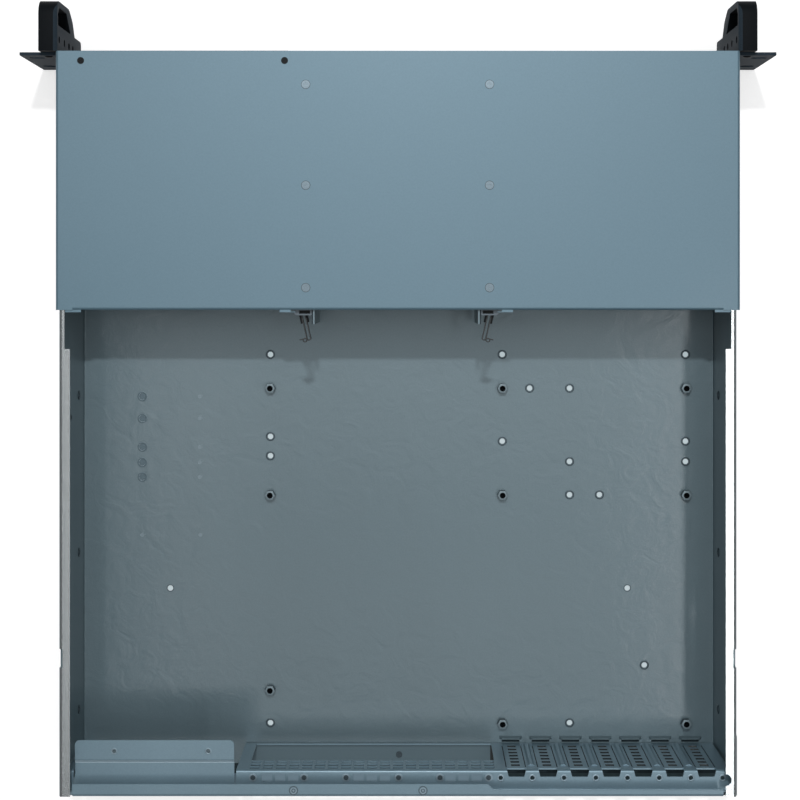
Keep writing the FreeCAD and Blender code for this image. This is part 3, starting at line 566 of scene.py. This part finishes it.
def round_blank(radius, height, sides, place, turn=(0.0, 0.0, 0.0)):
    """A round or many-sided bar, ready for editing."""
    clear_selection()
    bpy.ops.mesh.primitive_cylinder_add(vertices=sides, radius=radius, depth=height, location=place,
                                        rotation=turn)
    return bpy.context.object


def block(low, high):
    """A block between two corners, ready for editing."""
    clear_selection()
    middle = [(a + b) / 2.0 for a, b in zip(low, high)]
    bpy.ops.mesh.primitive_cube_add(size=1.0, location=middle)
    made = bpy.context.object
    made.scale = [b - a for a, b in zip(low, high)]
    bpy.ops.object.transform_apply(location=True, rotation=True, scale=True)
    return made


def stepped_disc(radius, height, steps, sides=24, core=None):
    """A turned head standing on z 0: each step insets the crown and lifts or sinks it.

    A core gives a radius and two finishes: outside it, and inside it above the foot."""
    disc = round_blank(radius, height, sides, (0.0, 0.0, height / 2.0))
    bpy.ops.object.transform_apply(location=True)
    pick_faces(disc, lambda face: face.normal.z > 0.9)
    for inset, lift in steps:
        bpy.ops.mesh.inset(thickness=inset)
        bpy.ops.mesh.extrude_region_move(TRANSFORM_OT_translate={"value": (0.0, 0.0, lift)})
    bpy.ops.object.mode_set(mode="OBJECT")
    if core is not None:
        reach, outer, inner = core
        disc.data.materials.append(outer)
        disc.data.materials.append(inner)
        for face in disc.data.polygons:
            within = math.hypot(face.center.x, face.center.y) < reach
            face.material_index = 1 if within and face.center.z > 0.001 * mm else 0
    return disc


def collar(outer, inner, height, sides=24):
    """An open ring standing on z 0."""
    ring = round_blank(outer, height, sides, (0.0, 0.0, height / 2.0))
    bpy.ops.object.transform_apply(location=True)
    pick_faces(ring, lambda face: abs(face.normal.z) > 0.9)
    bpy.ops.mesh.inset(thickness=outer - inner, use_individual=True)
    bpy.ops.mesh.bridge_edge_loops()
    bpy.ops.mesh.select_all(action="SELECT")
    bpy.ops.mesh.normals_make_consistent(inside=False)
    bpy.ops.object.mode_set(mode="OBJECT")
    return ring


def cross_cutter(reach, width, low, high):
    """The two crossed bars of a screw's drive recess."""
    cutter = block((-reach, -width / 2.0, low), (reach, width / 2.0, high))
    other = block((-width / 2.0, -reach, low), (width / 2.0, reach, high))
    combine(cutter, other, "UNION")
    return cutter


def screw_head(radius, crown, recess):
    """A low cross-recessed screw head with a rounded rim."""
    head = stepped_disc(radius, crown * 0.5, [(radius * 0.12, crown * 0.3), (radius * 0.2, crown * 0.2)])
    over = 1.0 * mm
    cut_with(head, cross_cutter(radius * 0.58, radius * 0.24, crown - recess, crown + over))
    return head


# turns that lay a piece modelled along +Z against a wall, and the mirror image across the case
upright = Matrix.Identity(4)
facing_right = Matrix.Rotation(math.radians(90.0), 4, "Y")
facing_left = Matrix.Rotation(math.radians(-90.0), 4, "Y")
facing_rear = Matrix.Rotation(math.radians(-90.0), 4, "X")
across = Matrix.Scale(-1.0, 4, (1.0, 0.0, 0.0))


def place_copies(master, stem, spots, turn):
    """Puts the master on the first spot of the case and copies of it on the others."""
    for k, spot in enumerate(spots[1:]):
        twin(master, stem + "_" + str(k + 2), Matrix.Translation(spot) @ turn, "case")
    master.data.transform(Matrix.Translation(spots[0]) @ turn)
    master.name = stem + "_1"


def fit(piece, stem, spots, finish, turn=upright, rounding=0.0):
    """Ends a piece and repeats it on every spot of the case."""
    settle(piece, stem, "case", finish)
    if rounding:
        round_off(piece, rounding)
    place_copies(piece, stem, spots, turn)


def fit_both_sides(piece, stems, spots, turns, finish, rounding=0.0):
    """Ends a piece and repeats it on the spots at +X and, with the second stem and turn, on those at -X."""
    settle(piece, stems[0], "case", finish)
    if rounding:
        round_off(piece, rounding)
    other = twin(piece, stems[1], upright, "case")
    place_copies(piece, stems[0], spots, turns[0])
    place_copies(other, stems[1], [(-x, y, z) for x, y, z in spots], turns[1])


# ---------------------------------------------------------------- screws, rims and rivets

def cover_screws():
    """Six plated screws hold the drive cage and two black ones the intake's rail."""
    top = cover_high.z
    columns = (cage_x - 59.1 * mm, cage_x + 57.4 * mm)
    rows = [cover_low.y + step * mm for step in (21.3, 85.2, 150.1)]
    spots = [(x, y, top) for x in columns for y in rows]
    radius = 2.6 * mm
    fit(screw_head(radius, crown=0.55 * mm, recess=0.5 * mm), "cage_screw", spots, bright_steel)
    # a ring of painted shade round each cage screw
    fit(collar(2.95 * mm, radius, 0.12 * mm), "cage_screw_seat", spots, painted_shade_steel)
    rail_y = cover_low.y + 6.2 * mm
    fit(screw_head(2.2 * mm, crown=0.55 * mm, recess=0.45 * mm), "rail_screw",
        [(201.0 * mm, rail_y, top), (71.8 * mm, rail_y, top)], black_moulding)


def floor_rims():
    """Pressed rims round the spare board holes, and the bracket, pilot and plain holes of the floor."""
    left, middle, right = board_columns
    front = -22.86 * mm
    spots = [(left, front), (middle, front), (right, front), (176.08 * mm, 0.0), (small_board_column, 0.0),
             (left, 32.8 * mm), (left, 45.9 * mm), (middle, 36.0 * mm), (right, 36.0 * mm),
             (small_board_column, 49.8 * mm), (right, 49.8 * mm), (small_board_column, board_middle_row),
             (223.5 * mm, board_middle_row), (left, board_rear_row), (small_board_column, board_rear_row),
             (254.0 * mm, 188.13 * mm)]
    # the hole rims and plain rims take painted shade
    fit(collar(3.15 * mm, 1.98 * mm, 0.45 * mm), "hole_rim", [on_board(*spot) for spot in spots], painted_shade_steel,
        rounding=0.2 * mm)
    fit(collar(3.3 * mm, 2.36 * mm, 0.3 * mm), "bracket_rim",
        [on_board(bracket_column, row) for row in bracket_rows], worn_zinc, rounding=0.12 * mm)
    fit(stepped_disc(2.3 * mm, 0.9 * mm, [(0.5 * mm, 0.12 * mm), (0.5 * mm, -0.1 * mm)]), "bracket_insert",
        [on_board(bracket_column, row, 0.1 * mm) for row in bracket_rows], worn_zinc)

    pilots = [(-48.0 * mm, row) for row in bracket_rows]
    pilots += [(bracket_column, 99.6 * mm), (-47.6 * mm, 99.6 * mm)]
    fit(stepped_disc(1.9 * mm, 0.12 * mm, [(0.55 * mm, -0.05 * mm)], 20, (1.4 * mm, tray_zinc, crown_steel)),
        "pilot_hole", [on_board(*spot) for spot in pilots], painted_shade_steel)
    fit(collar(2.5 * mm, 1.93 * mm, 0.15 * mm), "plain_rim",
        [(side * 155.2 * mm, board_y + 135.8 * mm, tray_sheet) for side in (-1, 1)], painted_shade_steel)


def wall_rims():
    """Dimpled rims of the rail holes, and small rivets beside the cover, on the inside of both walls."""
    wall = tray_high.x - tray_sheet
    inward = (facing_left, facing_right)
    rail_spots = [(wall, tray_high.y - (41.0 + 105.0 * k) * mm, 21.5 * mm) for k in range(3)]
    # the rail rims and the rivets take painted shade
    fit_both_sides(collar(3.0 * mm, 1.66 * mm, 0.5 * mm), ("rail_rim", "rail_rim_right"), rail_spots, inward,
                   painted_shade_steel, rounding=0.2 * mm)
    fit_both_sides(stepped_disc(1.6 * mm, 0.25 * mm, [(0.4 * mm, 0.2 * mm)], 20),
                   ("wall_rivet", "wall_rivet_right"),
                   [(wall, 14.6 * mm, 50.0 * mm), (wall, 150.0 * mm, 70.0 * mm)], inward, painted_shade_steel)


def shelf_fittings():
    """Screw rims and dimples of the shelf, clinch nuts of the top flange, threads of the plate."""
    fit(collar(2.35 * mm, 1.38 * mm, 0.35 * mm, 20), "slot_screw_rim",
        [(slot_start - slot_pitch * k, wall_y + 5.2 * mm, shelf_top) for k in range(8)], bright_zinc,
        rounding=0.15 * mm)
    # the dimples' cores take painted shade
    fit(stepped_disc(2.7 * mm, 0.5 * mm, [(0.55 * mm, 0.12 * mm), (0.5 * mm, -0.45 * mm)],
                     core=(1.7 * mm, bright_zinc, painted_shade_steel)),
        "shelf_dimple", [(x * mm, wall_y + 4.9 * mm, shelf_top) for x in (93.0, 60.2, 33.3, -0.3, -26.9, -58.0)],
        bright_zinc)

    nut_spots = [(x * mm, panel_high.y - 4.0 * mm, panel_high.z) for x in (66.2, -15.9)]
    fit(stepped_disc(3.0 * mm, 0.1 * mm, [(0.3 * mm, -0.04 * mm)]), "clinch_seat", nut_spots, worn_zinc)
    fit(collar(2.15 * mm, 1.4 * mm, 0.35 * mm), "clinch_ring", nut_spots, bright_zinc)
    fit(stepped_disc(0.65 * mm, 0.25 * mm, [(0.2 * mm, 0.05 * mm)], 16), "clinch_pin", nut_spots, bright_zinc)

    # the seam rivet takes painted shade
    rivet = stepped_disc(2.2 * mm, 0.3 * mm, [(0.5 * mm, 0.25 * mm), (0.5 * mm, -0.3 * mm)])
    rivet.data.transform(Matrix.Translation((-0.2 * mm, panel_high.y - 6.0 * mm, tray_sheet + rear_sheet)))
    settle(rivet, "seam_rivet", "case", painted_shade_steel)

    middle = (plate_low.x + plate_high.x) / 2.0 - 4.2 * mm
    fit(collar(2.1 * mm, 1.28 * mm, 0.3 * mm, 20), "plate_thread",
        [(middle + side * 30.1 * mm, plate_low.y + 7.0 * mm, shelf_top + plate_sheet) for side in (-1, 1)],
        bright_zinc, rounding=0.12 * mm)


def side_screws():
    """Screws of the cover's skirts, of the ears' legs and of the handles."""
    outward = (facing_right, facing_left)
    fit_both_sides(screw_head(2.3 * mm, crown=0.4 * mm, recess=0.35 * mm), ("skirt_screw", "skirt_screw_left"),
                   [(cover_high.x, cover_low.y + step * mm, cover_low.z + 5.5 * mm) for step in (60.0, 140.0)],
                   outward, bright_steel)
    leg_face = tray_high.x + 2.0 * mm
    fit_both_sides(screw_head(2.5 * mm, crown=0.5 * mm, recess=0.4 * mm), ("ear_screw", "ear_screw_left"),
                   [(leg_face, cover_low.y + 28.0 * mm, z * mm) for z in (14.0, 38.0, 62.0)],
                   outward, black_moulding)
    ear_back = cover_low.y + 2.0 * mm
    fit(screw_head(2.6 * mm, crown=0.9 * mm, recess=0.6 * mm), "handle_screw",
        [(side * 223.6 * mm, ear_back, z * mm) for side in (-1, 1) for z in (10.0, 74.7)],
        black_moulding, facing_rear)


# ---------------------------------------------------------------- stand-offs, handles and latches

def make_standoffs():
    """Nine hexagonal stand-offs with a chamfered crown and a countersunk, shaded bore; the crown is painted
    lighter and the flanks darker as painted light and shade.
    """
    height, bore, mouth, mouth_depth = 6.0 * mm, 1.25 * mm, 2.0 * mm, 1.6 * mm
    post = round_blank(standoff_reach, height, 6, (0.0, 0.0, height / 2.0), (0.0, 0.0, math.radians(30.0)))
    bpy.ops.object.transform_apply(location=True, rotation=True)
    apply_modifier(post, "BEVEL", width=0.35 * mm, segments=2, limit_method="ANGLE",
                   angle_limit=math.radians(70.0))
    cut_with(post, round_blank(bore, 8.0 * mm, 24, (0.0, 0.0, 5.0 * mm)))
    clear_selection()
    bpy.ops.mesh.primitive_cone_add(vertices=24, radius1=bore, radius2=mouth, depth=mouth_depth,
                                    location=(0.0, 0.0, 5.25 * mm))
    cut_with(post, bpy.context.object)

    # lighter crown and darker flanks: painted light and shade on one metal
    crown, shadow, flank = 0, 1, 2
    for finish in (crown_steel, hole_shadow, painted_shade_steel):
        post.data.materials.append(finish)
    for face in post.data.polygons:
        reach = math.hypot(face.center.x, face.center.y)
        on_top = face.normal.z > 0.9 and face.center.z > 5.0 * mm
        on_chamfer = reach > 2.6 * mm and face.normal.z > 0.2
        if on_top or on_chamfer:
            face.material_index = crown
        else:
            face.material_index = shadow if reach < mouth else flank
    settle(post, "standoff", "case", crown_steel)
    shade_by_angle(25.0)
    spots = []
    for column in board_columns:
        rear = board_rear_row if column else board_jog_row
        spots += [on_board(column, row) for row in (0.0, board_middle_row, rear)]
    place_copies(post, "standoff", spots, upright)
    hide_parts("standoffs")


def slice_off(piece, point, normal):
    """Cuts away what lies on the normal's side of a plane and closes the cut."""
    bpy.ops.object.mode_set(mode="EDIT")
    bpy.ops.mesh.select_all(action="SELECT")
    bpy.ops.mesh.bisect(plane_co=point, plane_no=normal, use_fill=True, clear_outer=True, threshold=1e-6)
    bpy.ops.object.mode_set(mode="OBJECT")


def slope(a, b):
    """Point and outward normal of the plane through two (y, z) points, the solid above it."""
    dy, dz = b[0] - a[0], b[1] - a[1]
    return (0.0, a[0], a[1]), Vector((0.0, dz, -dy)).normalized()


def soften_edges(piece, spots, width, segments):
    """Rounds the edges along X that pass through the given (y, z) spots."""
    close = 0.02 * mm
    bpy.ops.object.mode_set(mode="OBJECT")
    bpy.context.tool_settings.mesh_select_mode = (False, True, False)
    points = [v.co for v in piece.data.vertices]
    for part in (piece.data.polygons, piece.data.vertices):
        for item in part:
            item.select = False
    for edge in piece.data.edges:
        ends = [points[k] for k in edge.vertices]
        edge.select = any(all(abs(p.y - y) < close and abs(p.z - z) < close for p in ends) for y, z in spots)
    bpy.ops.object.mode_set(mode="EDIT")
    bpy.ops.mesh.bevel(offset=width, segments=segments, affect="EDGES")
    bpy.ops.object.mode_set(mode="OBJECT")


def handle_form(low, high):
    """Base block and D grip in the box between two corners, with its finger hole and rear holes."""
    base_y = high.y - 16.7 * mm
    tip_y = low.y
    grip_z = high.z - 64.1 * mm
    knee = (base_y - 9.0 * mm, grip_z + 7.0 * mm)
    chin = (tip_y, grip_z + 20.0 * mm)
    body = block((low.x, tip_y, grip_z), (high.x, high.y, high.z))
    slice_off(body, *slope(knee, (base_y, grip_z)))
    slice_off(body, *slope(chin, knee))
    combine(body, block((low.x, base_y, low.z), (high.x, high.y, high.z)), "UNION")
    soften_edges(body, [(tip_y, high.z)], 9.0 * mm, 6)
    inner_chamfer = 2.2 * mm
    slice_off(body, (low.x + inner_chamfer, 0.0, high.z), Vector((-1.0, 0.0, 1.0)).normalized())
    soften_edges(body, [(base_y, low.z), chin, knee], 3.0 * mm, 4)

    front = tip_y + 4.2 * mm
    back = base_y - 0.2 * mm
    roof = high.z - 5.0 * mm
    corner = 4.2 * mm
    beyond = 10.0 * mm
    hole = block((low.x - beyond, front, grip_z + 8.0 * mm), (high.x + beyond, back, roof))
    slice_off(hole, *slope((front, grip_z + 30.0 * mm), (back, grip_z + 15.6 * mm)))
    slice_off(hole, *slope((front + corner, roof), (front, roof - corner)))
    cut_with(body, hole)
    # two tones for painted shade and light, given out by face direction in make_handles
    body.data.materials.append(painted_shade_black)
    body.data.materials.append(black_coat)
    round_off(body, 0.6 * mm, 3, 28.0)
    for drop in (57.1, 43.1, 27.1, 9.1):
        pin = round_blank(2.4 * mm, 7.0 * mm, 20, (low.x, high.y - 8.0 * mm, high.z - drop * mm),
                          (0.0, math.radians(90.0), 0.0))
        cut_with(body, pin)
    return body


def make_handles():
    """Two grip handles, deep black with painted shade on their tops and fronts, and their flanks a shade lighter
    as painted light.
    """
    low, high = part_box("handle_right")
    body = handle_form(low, high)
    for face in body.data.polygons:
        # flanks lighter and the rest darker by face direction: painted light and shade
        face.material_index = 1 if abs(face.normal.x) > 0.35 else 0
    settle(body, "grip_handle_right", "case", painted_shade_black)
    shade_by_angle(40.0)
    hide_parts("handle_right")
    left = twin(body, "grip_handle_left", across, "case")
    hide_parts("handle_left")


def latch_details():
    """Moulded cheeks beside each spring strip, the rolled eye at its tip and the head of its pin."""
    for side, end in ((1, "right"), (-1, "left")):
        body = "latch_" + end
        hub_low, hub_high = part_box("latch_hub_" + end)
        lever_low, lever_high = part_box("latch_lever_" + end)
        hub_x = (hub_low.x + hub_high.x) / 2.0
        root = Matrix.Translation((hub_x + side * 1.4 * mm, hub_high.y, 0.0))
        lean = Matrix.Rotation(side * math.radians(13.0), 4, "Z")
        half = 0.55 * mm
        for number, offset in ((1, -2.1 * mm), (2, 2.1 * mm)):
            cheek = block((offset - half, -0.3 * mm, lever_low.z + 0.4 * mm),
                          (offset + half, 6.4 * mm, lever_high.z + 0.8 * mm))
            cheek.data.transform(root @ lean)
            round_off(cheek, 0.25 * mm)
            settle(cheek, "latch_cheek_" + end + "_" + str(number), body, black_moulding)
        eye = collar(1.5 * mm, 0.85 * mm, 4.2 * mm, 20)
        eye_x = lever_low.x + 3.9 * mm if side > 0 else lever_high.x - 3.9 * mm
        eye.data.transform(Matrix.Translation((eye_x, lever_high.y - 0.4 * mm, lever_low.z + 0.9 * mm)))
        round_off(eye, 0.15 * mm)
        settle(eye, "latch_eye_" + end, body, spring_strip)
        cap = stepped_disc(1.7 * mm, 0.3 * mm, [(0.35 * mm, 0.25 * mm)], 20)
        cap.data.transform(Matrix.Translation((hub_x, hub_low.y + 3.2 * mm, hub_high.z + 1.1 * mm)))
        settle(cap, "latch_pin_cap_" + end, "case", bright_steel)


def front_details():
    """A raised rim round the power button."""
    low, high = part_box("power_button")
    rim, gap, rise, sink, beyond = 1.6 * mm, 0.35 * mm, 0.5 * mm, 0.01 * mm, 10.0 * mm
    bezel = block((low.x - rim, front_low.y - rise, low.z - rim),
                  (high.x + rim, front_low.y + sink, high.z + rim))
    hole = block((low.x - gap, front_low.y - beyond, low.z - gap),
                 (high.x + gap, front_low.y + beyond, high.z + gap))
    cut_with(bezel, hole)
    round_off(bezel, 0.2 * mm)
    settle(bezel, "power_bezel", "case", black_moulding)


make_camera()
make_lights()
make_floor()
make_cards()
dress_solids()
cover_screws()
floor_rims()
wall_rims()
shelf_fittings()
side_screws()
make_standoffs()
make_handles()
latch_details()
front_details()

bpy.context.scene.view_settings.view_transform = "Standard"
